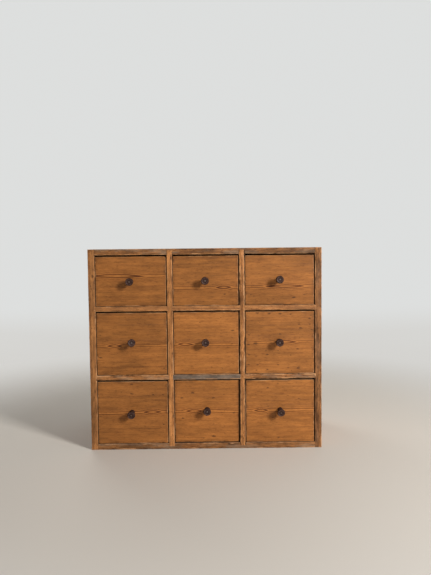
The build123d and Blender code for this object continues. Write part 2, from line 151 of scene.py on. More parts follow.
FRAME_BOARDS = {
    "left_side_board": FrameBoard(Wood(4.2, -0.08, 0.18, 0.5, 1.4), 1.1),
    "right_side_board": FrameBoard(Wood(11.3, -0.24, 0.18, 0.9, 2.1, 0.15), 1.1),
    "lapped_top_board": FrameBoard(Wood(21.7, -0.22, 0.35, 0.8, 1.8, 0.6), 1.1),
    "lapped_bottom_board": FrameBoard(Wood(33.1, -0.33, 0.35, 1.0, 1.8, 0.6), 1.1),
    "left_divider_board": FrameBoard(Wood(7.9, 0.22, 0.18, 0.55, 1.4), 0.8),
    "right_divider_board": FrameBoard(Wood(15.4, 0.09, 0.18, 1.5, 2.0), 2.0, 0.38),
    "upper_left_rail": FrameBoard(Wood(40.3, 0.08, 0.25, 0.6, 1.4, 0.05), 0.7),
    "upper_centre_rail": FrameBoard(Wood(45.4, 0.08, 0.25, 0.6, 1.4, 0.05), 0.7),
    "upper_right_rail": FrameBoard(Wood(50.5, 0.08, 0.25, 0.6, 1.4, 0.05), 0.7),
    "lower_left_rail": FrameBoard(Wood(42.6, 0.08, 0.8, 1.1, 1.9, 0.45), 1.7, 0.42),
    "lower_centre_rail": FrameBoard(Wood(45.4, -0.1, 0.25, 0.6, 1.9, 0.05), 0.7),
    "lower_right_rail": FrameBoard(Wood(52.8, 0.08, 0.8, 1.1, 1.9, 0.45), 1.7, 0.42),
}
GREY_RAIL = "lower_centre_rail"


class FrontWood(NamedTuple):
    """How the board of one drawer's front was cut, and what has happened to it since."""

    heart: float  # height of the grain's heart line above the front's middle, in mm
    flame: float  # place of its flame to the right of the front's middle, in mm
    flame_length: float  # mm from the flame's middle to its tips
    tone: float  # lighter above 0, darker below
    stain: float  # share of small dark marks


FRONT_WOODS = {
    "top_left": FrontWood(22, -60, 190, -0.2, 0.05),
    "top_centre": FrontWood(-27, 72, 44, -0.12, 0.12),
    "top_right": FrontWood(-25, 20, 110, -0.02, 0.14),
    "middle_left": FrontWood(-8, -68, 46, 0.02, 0.09),
    "middle_centre": FrontWood(-5, -84, 44, 0.1, 0.22),
    "middle_right": FrontWood(0, 20, 70, 0.05, 0.6),
    "bottom_left": FrontWood(0, 78, 48, -0.13, 0.07),
    "bottom_centre": FrontWood(0, -52, 50, 0.02, 0.2),
    "bottom_right": FrontWood(1, -76, 40, 0.01, 0.14),
}

# How the pine grew. Scales of noise are waves to the metre along the grain, across it and into
# the board.
RING_BOW = 1.35  # 2 would make the rings round; less makes them squarer to the face
YOUNG_RADIUS = 24 * MM  # up to about here the tree was young and its rings wide
FEWER_RINGS = 7.8  # how many rings that leaves out
RING_DRIFT = 1.6  # how far the rings' spacing wanders, in rings
KNOT_CELLS = (3.3, 5.3)  # cells to the metre along and across the grain, with a knot at most each
KNOT_RADII = (4 * MM, 11 * MM)
KNOT_RINGS = 5200.0  # radians to the metre, through the fine rings inside a knot
GRAIN_NOISES = {  # scale, detail and roughness of each
    "Fibre": ((30, 950, 950), 2.0, 0.6),
    "Streaks": ((7, 110, 110), 4.0, 0.68),
    "Tone": ((3, 11, 11), 2.0, 0.5),
    "Mottle": ((16, 60, 60), 4.0, 0.6),
    "Flecks": ((70, 230, 230), 3.0, 0.6),
}
NOISE_SPREAD = 2.6  # stretches noise about 0.5 so that it reaches 0 and 1


# ---- Settings that a user would change
def colour_property(name, description, default):
    return FloatVectorProperty(
        name=name, description=description, default=(*default, 1.0), size=4, min=0, max=1,
        subtype="COLOR",
    )


def length_property(name, description, default):
    return FloatProperty(
        name=name, description=description, default=default, min=0, unit="LENGTH",
        subtype="DISTANCE", precision=5,
    )


class CabinetShapeSettings(bpy.types.PropertyGroup):
    """Sizes of the wear on the boards."""

    arris: length_property("Arris", "Rounding of the boards' visible edges", 1.4 * MM)
    front_corner: length_property("Front corner", "Rounding of a front's corners", 2.5 * MM)
    knocked_corner: length_property(
        "Knocked corner", "Rounding of the top left front's upper right corner", 8 * MM
    )
    joint_gap: length_property("Joint gap", "Air round a board where it is let in", 0.2 * MM)
    cut_spacing: length_property(
        "Cut spacing", "Distance between the cuts that let an edge wear", 5 * MM
    )
    chip: length_property("Chip", "Usual depth of the dents along the edges", 1 * MM)
    planing: length_property("Planing", "Unevenness left by the plane on the fronts", 0.35 * MM)


class CabinetFinishSettings(bpy.types.PropertyGroup):
    """Colours of the woods and the iron."""

    front_light: colour_property("Fronts", "Early wood of the fronts", (0.41, 0.155, 0.035))
    front_dark: colour_property("Fronts' grain", "Late wood of the fronts", (0.105, 0.028, 0.005))
    frame_light: colour_property("Frame", "Early wood of the frame", (0.50, 0.213, 0.067))
    frame_dark: colour_property("Frame's grain", "Late wood of the frame", (0.10, 0.031, 0.008))
    bare_light: colour_property("Inside", "Early wood that was never waxed", (0.55, 0.345, 0.18))
    bare_dark: colour_property("Inside's grain", "Its late wood", (0.30, 0.15, 0.06))
    grey_light: colour_property("Grey rail", "Early wood of the grey rail", (0.27, 0.195, 0.14))
    grey_dark: colour_property("Grey rail's grain", "Its late wood", (0.10, 0.072, 0.055))
    worn: colour_property("Worn edge", "Wood rubbed bare along an edge", (0.60, 0.315, 0.145))
    grime: colour_property("Grime", "Old wax and dirt", (0.040, 0.015, 0.007))
    # Painted shade: the colour that the faces in the gaps round the drawers are darkened towards,
    # standing in for the shade in those gaps.
    gap: colour_property("Gaps", "Darkened wood between fronts and frame", (0.032, 0.012, 0.005))
    scuff: colour_property("Scuffs", "Wood that has lost its wax", (0.33, 0.222, 0.142))
    knob: colour_property("Knobs", "The knobs' dark wood", (0.025, 0.0105, 0.0075))
    # Partly painted highlight: the paler ring on the knobs' faces stands for rubbed wood and for
    # the light that the rim of the hollow catches.
    knob_rubbed_and_highlit: colour_property("Knobs' rims", "Where the knobs are rubbed, with a painted highlight on the face's ring", (0.100, 0.055, 0.045))
    knob_fibre: colour_property("Knobs' fibres", "Their darkest lines", (0.012, 0.007, 0.006))
    iron: colour_property("Iron", "Screws and nails", (0.16, 0.14, 0.13))
    rust: colour_property("Rust", "Rust on the iron", (0.10, 0.035, 0.014))
    ring_width: length_property("Ring width", "Distance between the pine's rings", 2.7 * MM)


class CabinetStageSettings(bpy.types.PropertyGroup):
    """The floor, the backdrop, the light and the camera."""

    floor: colour_property("Floor", "Colour of the floor", (0.66, 0.62, 0.565))
    far_floor: colour_property("Far floor", "The floor away from the light", (0.66, 0.65, 0.625))
    wall: colour_property("Wall", "Colour of the backdrop", (0.725, 0.735, 0.728))
    wall_distance: length_property("Wall", "From the cabinet's middle to the backdrop", 2.6)
    sky: FloatProperty(name="Sky", description="Strength of the light all round", default=0.21)
    key_power: FloatProperty(
        name="Window", description="Power of the large light", default=186.0, unit="POWER"
    )
    back_power: FloatProperty(
        name="Back light", description="Power of the soft light behind", default=22.0,
        unit="POWER",
    )
    key_size: length_property("Window size", "Width of the large light", 0.75)
    lens: FloatProperty(name="Lens", description="Focal length in mm", default=31.3, min=1)


def shape():
    return bpy.context.scene.cabinet_shape


def finish():
    return bpy.context.scene.cabinet_finish


# ---- Modelling
def select_only(piece):
    bpy.ops.object.select_all(action="DESELECT")
    piece.select_set(True)
    bpy.context.view_layer.objects.active = piece


@contextmanager
def editing(piece, mode="EDGE"):
    """Edit mode on a piece with nothing selected; gives its bmesh."""
    select_only(piece)
    bpy.ops.object.mode_set(mode="EDIT")
    bpy.ops.mesh.select_mode(type=mode)
    bpy.ops.mesh.select_all(action="DESELECT")
    yield bmesh.from_edit_mesh(piece.data)
    bpy.ops.object.mode_set(mode="OBJECT")


def settle(piece):
    """Puts a piece's place, turn and size into its mesh."""
    select_only(piece)
    bpy.ops.object.transform_apply(location=True, rotation=True, scale=True)


def name_piece(name):
    piece = bpy.context.active_object
    piece.name = piece.data.name = name
    return piece


def new_block(name, low, high):
    """A block between two corners, to start a board from or to cut with."""
    bpy.ops.object.select_all(action="DESELECT")
    bpy.ops.mesh.primitive_cube_add(size=1, location=(low + high) / 2, scale=high - low)
    piece = name_piece(name)
    settle(piece)
    return piece


def points(piece):
    """The piece's points as rows of x, y and z."""
    places = np.empty(3 * len(piece.data.vertices))
    piece.data.vertices.foreach_get("co", places)
    return places.reshape(-1, 3)


def corners(piece):
    places = points(piece)
    return Vector(places.min(0)), Vector(places.max(0))


def parts_of(arris):
    """An arris such as "-y+z", where the faces towards -Y and +Z meet, as (axis, is high)."""
    return [("xyz".index(arris[i + 1]), arris[i] == "+") for i in (0, 2)]


def near_arris(places, low, high, arris, reach):
    """Which of those places are that near to an arris of the box between low and high."""
    near = np.ones(len(places), bool)
    for axis, is_high in parts_of(arris):
        near &= abs(places[:, axis] - (high if is_high else low)[axis]) < reach
    return near


def round_arrises(piece, arrises, width, segments=2):
    """Rounds the piece's edges along those arrises of its box."""
    low, high = corners(piece)
    places = points(piece)
    near = [near_arris(places, low, high, arris, ON_EDGE) for arris in arrises]
    with editing(piece) as mesh:
        for edge in mesh.edges:
            first, last = (vert.index for vert in edge.verts)
            if any(on[first] and on[last] for on in near):
                edge.select_set(True)
        bpy.ops.mesh.bevel(offset=width, segments=segments, affect="EDGES")


def cut_across(piece, axis, places):
    """Adds a row of edges round the piece at each of those places along an axis."""
    with editing(piece):
        for place in places:
            bpy.ops.mesh.select_all(action="SELECT")
            bpy.ops.mesh.bisect(
                plane_co=[place if i == axis else 0 for i in range(3)],
                plane_no=[float(i == axis) for i in range(3)],
            )


def slice_up(piece, axis, spacing, chance):
    """Cuts across the piece all along an axis, at slightly uneven steps."""
    low, high = (corner[axis] for corner in corners(piece))
    count = max(1, round((high - low - 2 * SHOULDER) / spacing))
    step = (high - low - 2 * SHOULDER) / count
    places = [low + SHOULDER + step * i for i in range(count + 1)]
    inner = [place + chance.uniform(-0.25, 0.25) * step for place in places[1:-1]]
    cut_across(piece, axis, [places[0], *inner, places[-1]])


def apply_modifier(piece, kind, **settings):
    modifier = piece.modifiers.new(kind.title(), kind)
    for name, value in settings.items():
        setattr(modifier, name, value)
    select_only(piece)
    bpy.ops.object.modifier_apply(modifier=modifier.name)


def cloud_texture(name, size, threshold):
    """Clouds that are 0 below the threshold, for dents of about that size."""
    texture = bpy.data.textures.get(name) or bpy.data.textures.new(name, "CLOUDS")
    texture.noise_scale = size
    texture.noise_depth = 2
    texture.use_color_ramp = True
    low, high = texture.color_ramp.elements
    low.position, high.position = threshold, min(1.0, threshold + 0.3)
    low.color, high.color = (0, 0, 0, 1), (1, 1, 1, 1)
    return texture


def dent(piece, texture, depth, group=""):
    """Pushes the surface inwards where the texture is light."""
    apply_modifier(
        piece, "DISPLACE", texture=texture, texture_coords="LOCAL", strength=-depth, mid_level=0,
        vertex_group=group,
    )


def wear_arrises(piece, arrises, depth, threshold):
    """Wears dents into those arrises: fine ones all along, and fewer, larger and deeper ones."""
    low, high = corners(piece)
    places = points(piece)
    reach = 1.2 * shape().arris
    near = np.zeros(len(places), bool)
    for arris in arrises:
        near |= near_arris(places, low, high, arris, reach)
    # The group is known by its name alone, since applying a dent replaces the group itself.
    group = "arris"
    indices = [int(i) for i in np.flatnonzero(near)]
    piece.vertex_groups.new(name=group).add(indices, 1.0, "REPLACE")
    dent(piece, cloud_texture("Fine wear", 7 * MM, 0.35), 0.35 * depth, group)
    dent(piece, cloud_texture(f"Chips {threshold}", 24 * MM, threshold), depth, group)
    piece.vertex_groups.clear()


def cad_copy(node):
    """A merged copy of a CAD node's mesh, grown by the joint gap, to cut with."""
    cutter = bpy.data.objects.new(node + "_cutter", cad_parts[node].data.copy())
    bpy.context.scene.collection.objects.link(cutter)
    with editing(cutter, "VERT"):
        bpy.ops.mesh.select_all(action="SELECT")
        bpy.ops.mesh.remove_doubles(threshold=SAME_PLACE)
    # A corner moves along its slanting normal, and so by the gap along each axis.
    apply_modifier(
        cutter, "DISPLACE", strength=math.sqrt(3) * shape().joint_gap, mid_level=0
    )
    return cutter


def cut_away(piece, cutters):
    """Takes the cutters' shapes out of a piece; a cutter is a piece or a CAD node's name."""
    for cutter in cutters:
        if isinstance(cutter, str):
            cutter = cad_copy(cutter)
        apply_modifier(piece, "BOOLEAN", object=cutter, operation="DIFFERENCE", solver="EXACT")
        bpy.data.meshes.remove(cutter.data)
        if not piece.data.vertices:
            raise RuntimeError(f"{piece.name}: a joint took the whole board away")


def heal(piece):
    """Closes the slivers that a cut leaves."""
    with editing(piece, "VERT"):
        bpy.ops.mesh.select_all(action="SELECT")
        bpy.ops.mesh.remove_doubles(threshold=SLIVER)


def store(piece, name, values):
    """Keeps a number or a vector for each point, for the material to read."""
    values = np.asarray(values, np.float32)
    is_vector = values.ndim == 2
    kind = "FLOAT_VECTOR" if is_vector else "FLOAT"
    attribute = piece.data.attributes.new(name, kind, "POINT")
    attribute.data.foreach_set("vector" if is_vector else "value", values.ravel())


def store_wood(piece, order, heart, wood):
    """Stores what a wood material reads: the place in the board, as along, across and depth.

    The order says which axes those are, such as "zyx" for a board that stands upright.
    """
    low, high = corners(piece)
    places = points(piece)
    axes = ["xyz".index(axis) for axis in order]
    store(piece, "grain", (places - np.array(heart))[:, axes])
    store(piece, "low_gap", places - np.array(low))
    store(piece, "high_gap", np.array(high) - places)
    for name, value in wood._asdict().items():
        store(piece, name, np.full(len(places), value))


def hand_over(piece, body, node, material):
    """Finishes a piece's shading and tells the frame what it stands for."""
    select_only(piece)
    bpy.ops.object.shade_smooth_by_angle(angle=SMOOTH_ANGLE)
    piece.data.materials.clear()
    piece.data.materials.append(material)
    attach(piece, body)
    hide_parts(node)


# ---- Shader nodes
class Wiring:
    """Adds nodes to a shader tree. What a node is given is a socket, to link, or a constant."""

    def __init__(self, tree):
        self.tree = tree

    def node(self, kind, inputs=(), **settings):
        node = self.tree.nodes.new(kind)
        for name, value in settings.items():
            setattr(node, name, value)
        for key, value in dict(inputs).items():
            self.feed(node.inputs[key], value)
        return node

    def feed(self, socket, value):
        if isinstance(value, bpy.types.NodeSocket):
            self.tree.links.new(value, socket)
        else:
            socket.default_value = value

    def math(self, operation, *values):
        return self.node("ShaderNodeMath", enumerate(values), operation=operation).outputs[0]

    def chain(self, operation, first, *others):
        for value in others:
            first = self.math(operation, first, value)
        return first

    def add(self, *values):
        return self.chain("ADD", *values)

    def multiply(self, *values):
        return self.chain("MULTIPLY", *values)

    def largest(self, *values):
        return self.chain("MAXIMUM", *values)

    def subtract(self, first, second):
        return self.math("SUBTRACT", first, second)

    def divide(self, first, second):
        return self.math("DIVIDE", first, second)

    def inverse(self, value):
        return self.subtract(1.0, value)

    def absolute(self, value):
        return self.math("ABSOLUTE", value)

    def vector(self, operation, *values):
        node = self.node("ShaderNodeVectorMath", enumerate(values), operation=operation)
        return node.outputs["Value" if operation == "LENGTH" else "Vector"]

    def split(self, vector):
        return self.node("ShaderNodeSeparateXYZ", {0: vector}).outputs[:]

    def join(self, x, y, z):
        return self.node("ShaderNodeCombineXYZ", {0: x, 1: y, 2: z}).outputs[0]

    def noise(self, place, scale, detail=2.0, roughness=0.5):
        """Noise from 0 to 1, whose scale may differ along x, y and z."""
        scaled = self.vector("MULTIPLY", place, scale)
        inputs = {"Vector": scaled, "Scale": 1.0, "Detail": detail, "Roughness": roughness}
        return self.node("ShaderNodeTexNoise", inputs).outputs[0]

    def wave(self, place, scale, reach, detail=2.0):
        """Noise from about -reach to reach."""
        centred = self.subtract(self.noise(place, scale, detail), 0.5)
        return self.multiply(centred, NOISE_SPREAD * reach)

    def cells(self, place, scale, **inputs):
        """Flat cells, each round a point; gives the scaled place and the cells' outputs."""
        scaled = self.vector("MULTIPLY", place, scale)
        inputs = {"Vector": scaled, "Scale": 1.0, **inputs}
        node = self.node("ShaderNodeTexVoronoi", inputs, voronoi_dimensions="2D")
        return scaled, node.outputs

    def chance(self, *values):
        """A random number from 0 to 1 for each set of up to three values."""
        values = [*values, 0.0, 0.0][:3]
        place = self.join(*values)
        node = self.node("ShaderNodeTexWhiteNoise", {"Vector": place}, noise_dimensions="3D")
        return node.outputs["Value"]

    def smooth(self, value, start, end, low=0.0, high=1.0):
        """Low before start, high after end, and a smooth step between them."""
        inputs = {
            "Value": value, "From Min": start, "From Max": end, "To Min": low, "To Max": high,
        }
        node = self.node("ShaderNodeMapRange", inputs, interpolation_type="SMOOTHSTEP")
        return node.outputs[0]

    def blend(self, factor, first, second, kind="MIX"):
        inputs = {0: factor, 6: first, 7: second}
        settings = {"data_type": "RGBA", "blend_type": kind}
        return self.node("ShaderNodeMix", inputs, **settings).outputs[2]

    def darken(self, colour, factor):
        return self.blend(1.0, colour, factor, "MULTIPLY")

    def cover(self, colour, *layers):
        """Lays layers on a colour; each is a colour, and masks and shares that are multiplied."""
        for over, *masks in layers:
            colour = self.blend(self.multiply(*masks), colour, over)
        return colour

    def attribute(self, name, output="Fac"):
        return self.node("ShaderNodeAttribute", attribute_name=name).outputs[output]

    def place(self):
        """The place in the cabinet, since every object's origin is the cabinet's own."""
        return self.node("ShaderNodeTexCoord").outputs["Object"]


def new_group(name, inputs, outputs):
    """A node group; gives its wiring, its input sockets and a function that feeds an output."""
    tree = bpy.data.node_groups.new(name, "ShaderNodeTree")
    for label, default in inputs.items():
        kind = "NodeSocketVector" if default is None else "NodeSocketFloat"
        socket = tree.interface.new_socket(label, in_out="INPUT", socket_type=kind)
        if default is not None:
            socket.default_value = default
    for label in outputs:
        tree.interface.new_socket(label, in_out="OUTPUT", socket_type="NodeSocketFloat")
    wiring = Wiring(tree)
    given = wiring.node("NodeGroupInput").outputs
    result = wiring.node("NodeGroupOutput").inputs
    return wiring, given, lambda label, value: wiring.feed(result[label], value)


def find_knots(wire, moved, share):
    """A knot now and then, in its own cell.

    Gives what is knot, the uneven distance from the nearest one's middle, and how far that one
    pushes the grain aside.
    """
    scaled, cells = wire.cells(moved, (*KNOT_CELLS, 0.0), Randomness=0.9)
    gap = wire.vector("SUBTRACT", scaled, cells["Position"])
    gap = wire.vector("LENGTH", wire.vector("DIVIDE", gap, (*KNOT_CELLS, 1.0)))
    luck, size, _ = wire.split(cells["Color"])
    has_knot = wire.math("LESS_THAN", luck, share)
    radius = wire.smooth(size, 0.0, 1.0, *KNOT_RADII)
    uneven = wire.add(gap, wire.wave(moved, (120, 120, 120), 1.2 * MM))
    ratio = wire.divide(uneven, radius)
    knot = wire.multiply(has_knot, wire.smooth(ratio, 0.8, 1.05, 1.0, 0.0))
    push = wire.multiply(has_knot, wire.smooth(ratio, 0.5, 5.0, 1.0, 0.0), radius, 1.6)
    return knot, uneven, push


def grow_rings(wire, radius, number, ring_width):
    """The rings round the heart; gives how dark they are, and how young the tree was there."""
    young = wire.math("EXPONENT", wire.divide(radius, -YOUNG_RADIUS))
    near_heart = wire.math("POWER", young, 1.5)
    drift = wire.noise(wire.join(radius, number, 0.0), (75, 1, 1), 1.0)
    # A young tree grows fast: the rings are wider near the heart, and bolder there.
    phase = wire.add(
        wire.divide(radius, ring_width),
        wire.multiply(
            wire.inverse(young), wire.add(wire.multiply(drift, RING_DRIFT), -FEWER_RINGS)
        ),
    )
    ring = wire.math("FLOOR", phase)
    fraction = wire.math("FRACT", phase)
    # The late wood darkens slowly and ends sharply.
    late = wire.multiply(
        wire.smooth(
            fraction,
            wire.add(0.42, wire.multiply(near_heart, -0.2)),
            wire.add(0.88, wire.multiply(near_heart, -0.07)),
        ),
        wire.smooth(fraction, 0.94, 1.0, 1.0, 0.0),
    )
    bands = wire.noise(wire.join(radius, number, 5.0), (95, 1, 1), 1.0)
    uneven = wire.multiply(
        wire.smooth(wire.chance(ring, number), 0.0, 1.0, 0.25, 1.0),
        wire.smooth(bands, 0.3, 0.7, 0.45, 1.1),
    )
    strength = wire.add(
        wire.multiply(uneven, wire.inverse(near_heart)), wire.multiply(near_heart, 2.4)
    )
    return wire.multiply(late, strength), young


def pine_grain():
    """Pine cut from a log: rings round a heart line that runs along each board."""
    wire, given, give = new_group(
        "Pine grain",
        {
            "Place": None, "Seed": 0.0, "Ring Width": 2.7 * MM, "Board Width": 9.0,
            "Heart Spread": 0.0, "Flame Length": 1.0, "Figure": 6 * MM, "Knots": 0.0,
        },
        ("Rings", "Heart", "Knot", "Joint", "Board", *GRAIN_NOISES),
    )
    along, across, depth = wire.split(given["Place"])
    seed = given["Seed"]
    # A panel is made of several boards side by side, each from its own part of the log.
    board = wire.math("ROUND", wire.divide(across, given["Board Width"]))
    in_board = wire.subtract(across, wire.multiply(board, given["Board Width"]))
    number = wire.add(seed, wire.multiply(board, 3.7))
    shift = wire.vector("MULTIPLY", number, (1.73, 0.51, 0.37))
    moved = wire.vector("ADD", given["Place"], shift)
    heart = wire.multiply(
        wire.subtract(wire.chance(board, seed), 0.5), 2.0, given["Heart Spread"]
    )
    knot, from_knot, push = find_knots(wire, moved, given["Knots"])

    # The heart line sways across the board, and leaves the face on both sides of the flame.
    sway = wire.add(
        wire.wave(moved, (3.5, 4, 4), 5 * MM), wire.wave(moved, (19, 26, 26), 0.8 * MM)
    )
    beside = wire.absolute(wire.add(in_board, heart, sway, push))
    rise = wire.multiply(
        wire.smooth(wire.absolute(along), 0.0, given["Flame Length"]), given["Figure"]
    )
    below = wire.absolute(
        wire.add(
            depth, rise, wire.wave(moved, (8, 3, 3), 2.2 * MM),
            wire.wave(moved, (45, 60, 60), 0.4 * MM),
        )
    )
    radius = wire.math(
        "POWER",
        wire.add(wire.math("POWER", beside, RING_BOW), wire.math("POWER", below, RING_BOW)),
        1 / RING_BOW,
    )
    rings, young = grow_rings(wire, radius, number, given["Ring Width"])
    knot_rings = wire.multiply(
        knot, wire.smooth(wire.math("SINE", wire.multiply(from_knot, KNOT_RINGS)), -1.0, 1.0)
    )
    give("Rings", wire.largest(rings, knot_rings))
    give("Heart", young)
    give("Knot", knot)
    for label, (scale, detail, roughness) in GRAIN_NOISES.items():
        give(label, wire.noise(moved, scale, detail, roughness))
    to_joint = wire.subtract(
        wire.multiply(given["Board Width"], 0.5), wire.absolute(in_board)
    )
    give("Joint", wire.smooth(to_joint, 0.2 * MM, 0.9 * MM, 1.0, 0.0))
    give("Board", wire.chance(board, seed, 0.7))


def edge_wear():
    """What is rubbed bare along a board's edges, and where dirt stays beside them."""
    wire, given, give = new_group(
        "Edge wear",
        {"Low Gap": None, "High Gap": None, "Place": None, "Seed": 0.0, "Wear": 0.5},
        ("Worn", "Grime"),
    )
    gaps = wire.split(wire.vector("MINIMUM", given["Low Gap"], given["High Gap"]))
    x, y, z = (wire.largest(gap, 0.0) for gap in gaps)
    # The middle one of the three: on a face the smallest is 0, so this is the nearest edge.
    smaller, larger = wire.math("MINIMUM", x, y), wire.largest(x, y)
    distance = wire.largest(smaller, wire.math("MINIMUM", larger, z))
    moved = wire.vector("ADD", given["Place"], given["Seed"])
    patches = wire.smooth(wire.noise(moved, (14, 40, 40), 4.0, 0.65), 0.42, 0.68)
    width = wire.add(1.3 * MM, wire.multiply(patches, given["Wear"], 5.2 * MM))
    ragged = wire.add(wire.divide(distance, width), wire.wave(moved, (90, 500, 500), 0.35))
    worn = wire.smooth(ragged, 0.45, 1.15, 1.0, 0.0)
    give("Worn", wire.multiply(worn, wire.smooth(patches, 0.0, 1.0, 0.35, 1.0)))
    dirt = wire.smooth(wire.noise(moved, (22, 55, 55), 3.0, 0.6), 0.4, 0.7)
    give("Grime", wire.multiply(wire.smooth(distance, 1.5 * MM, 14 * MM, 1.0, 0.0), dirt))


def marks():
    """Worm holes, and small soft stains drawn out along the grain."""
    wire, given, give = new_group(
        "Marks", {"Place": None, "Seed": 0.0, "Amount": 0.3}, ("Holes", "Stains")
    )
    moved = wire.vector("ADD", given["Place"], given["Seed"])
    along, across, depth = wire.split(moved)
    ragged = wire.wave(moved, (160, 420, 420), 0.5, 3.0)
    flat = wire.join(
        wire.add(along, wire.wave(moved, (70, 130, 130), 3 * MM)),
        wire.add(across, depth, wire.wave(moved, (60, 90, 90), 1.6 * MM)),
        0.0,
    )

    def spots(scale, radius, share):
        """Spots of up to that radius, in cells, in that share of the cells."""
        _, cells = wire.cells(flat, scale)
        luck, size, _ = wire.split(cells["Color"])
        reach = wire.smooth(wire.math("POWER", size, 2.0), 0.0, 1.0, 0.3 * radius, radius)
        ratio = wire.add(wire.divide(cells["Distance"], reach), ragged)
        return wire.multiply(
            wire.math("LESS_THAN", luck, wire.multiply(given["Amount"], share)),
            wire.smooth(ratio, 0.35, 1.05, 1.0, 0.0),
        )

    give("Holes", spots((50, 50, 0), radius=0.07, share=0.25))
    give("Stains", spots((24, 50, 0), radius=0.25, share=0.75))


def groups():
    """The shared node groups, built once."""
    makers = {"Pine grain": pine_grain, "Edge wear": edge_wear, "Marks": marks}
    for name, make in makers.items():
        if name not in bpy.data.node_groups:
            make()
    return bpy.data.node_groups


def new_material(name, specular=0.26):
    """A material whose nodes are empty; gives it, its wiring and its shader."""
    material = bpy.data.materials.new(name)
    material.use_nodes = True
    material.node_tree.nodes.clear()
    wire = Wiring(material.node_tree)
    shader = wire.node("ShaderNodeBsdfPrincipled")
    shader.inputs["Specular IOR Level"].default_value = specular
    wire.node("ShaderNodeOutputMaterial", {"Surface": shader.outputs[0]})
    return material, wire, shader


def bump(wire, shader, height, distance):
    node = wire.node("ShaderNodeBump", {"Height": height, "Distance": distance, "Strength": 1.0})
    wire.feed(shader.inputs["Normal"], node.outputs["Normal"])


def use_group(wire, name, inputs):
    return wire.node("ShaderNodeGroup", inputs, node_tree=groups()[name]).outputs


# ---- Materials
def where_waxed(wire, from_front, is_front):
    """1 on the front and on the outside of the frame's sides and top, and 0 elsewhere."""
    waxed = wire.smooth(from_front, 0.6 * MM, 2.8 * MM, 1.0, 0.0)
    if is_front:
        return waxed
    x, _, z = wire.split(wire.place())
    for place, high in ((wire.absolute(x), CAD_HIGH.x), (z, CAD_HIGH.z)):
        waxed = wire.largest(waxed, wire.smooth(place, high - 3 * MM, high - 1 * MM))
    return waxed


def waxed_pine(name, light, dark, grain, is_front=False, roughness=0.5):
    """Old waxed pine on the faces that show, and bare pine on those inside the cabinet."""
    if name in bpy.data.materials:
        return bpy.data.materials[name]
    material, wire, shader = new_material(name)
    colours = finish()
    place = wire.attribute("grain", "Vector")
    low_gap = wire.attribute("low_gap", "Vector")
    in_board = {"Place": place, "Seed": wire.attribute("seed")}
    wood = use_group(
        wire, "Pine grain", in_board | grain | {
            "Ring Width": colours.ring_width, "Flame Length": wire.attribute("flame_length"),
        },
    )
    wear = use_group(
        wire, "Edge wear", in_board | {
            "Low Gap": low_gap, "High Gap": wire.attribute("high_gap", "Vector"),
            "Wear": wire.attribute("wear"),
        },
    )
    mark = use_group(wire, "Marks", in_board | {"Amount": wire.attribute("stain")})

    from_front = wire.split(low_gap)[1]
    waxed = where_waxed(wire, from_front, is_front)
    unwaxed = wire.inverse(waxed)
    # Painted shade in the gaps: unwaxed faces up to about 45 mm behind the front are darkened,
    # standing in for the shade between fronts and frame.
    painted_gap_shade = wire.multiply(unwaxed, wire.smooth(from_front, 18 * MM, 45 * MM, 1.0, 0.0))
    early = wire.blend(waxed, colours.bare_light, light)
    late = wire.blend(waxed, colours.bare_dark, dark)
    # The frame's front edges have been knocked and darkened more than its broad faces.
    at_edge = 1.0 if is_front else wire.smooth(from_front, 3 * MM, 12 * MM, 1.0, 0.0)
    share = wire.add(0.35, wire.multiply(at_edge, 0.65))
    contrast = wire.add(
        1.0, wire.multiply(wire.subtract(wire.attribute("contrast"), 1.0), at_edge)
    )

    streaks = wire.smooth(wood["Streaks"], 0.4, 0.68)
    colour = wire.cover(
        early,
        (late, wood["Rings"], 0.66, contrast),
        (late, streaks, wire.smooth(wood["Heart"], 0.0, 1.0, 0.31, 0.04), contrast),
        (late, wire.smooth(wood["Fibre"], 0.5, 0.75), 0.25),
        (late, wire.smooth(wood["Flecks"], 0.5, 0.7), contrast, 0.38),
    )
    tone = wire.add(
        wire.smooth(wood["Tone"], 0.25, 0.75, 0.84, 1.15),
        wire.multiply(wire.smooth(wood["Mottle"], 0.3, 0.7, -0.15, 0.15), contrast),
        wire.multiply(wood["Heart"], 0.22),
        wire.multiply(wire.subtract(wood["Board"], 0.5), 0.22),
        wire.multiply(wire.attribute("tone"), share),
    )
    # Some patches have lost their wax and gone grey.
    scuffs = wire.smooth(wire.noise(place, (9, 45, 45), 5.0, 0.66), 0.46, 0.62)
    colour = wire.cover(
        wire.darken(colour, tone),
        (wire.darken(colours.scuff, tone), scuffs, wire.attribute("scuffed"), waxed, share),
        (late, wood["Knot"], 0.75),
        # painted shade in the gaps round the drawers, lighter on the fronts
        (colours.gap, painted_gap_shade, 0.6 if is_front else 0.94),
        (colours.grime, mark["Stains"], 0.68),
        (colours.grime, wear["Grime"], waxed, 0.5),
        (colours.worn, wear["Worn"], wire.smooth(waxed, 0.0, 1.0, 0.3, 0.8)),
        (colours.grime, mark["Holes"]),
        (colours.grime, wood["Joint"], 0.7),
    )
    wire.feed(shader.inputs["Base Color"], colour)
    gloss = wire.add(
        wire.smooth(wood["Tone"], 0.3, 0.7, roughness - 0.07, roughness + 0.09),
        wire.multiply(unwaxed, 0.25),
        wire.multiply(wear["Worn"], 0.3),
    )
    wire.feed(shader.inputs["Roughness"], gloss)
    height = wire.add(
        wire.multiply(wood["Rings"], 0.5),
        wire.multiply(wood["Fibre"], 0.55),
        wire.multiply(streaks, 0.25),
        wire.multiply(mark["Holes"], -2.0),
        wire.multiply(wood["Joint"], -1.5),
    )
    bump(wire, shader, height, 0.35 * MM)
    return material


def front_pine():
    colours = finish()
    grain = {"Figure": 7.5 * MM}
    return waxed_pine(
        "Waxed pine fronts", colours.front_light, colours.front_dark, grain, is_front=True
    )


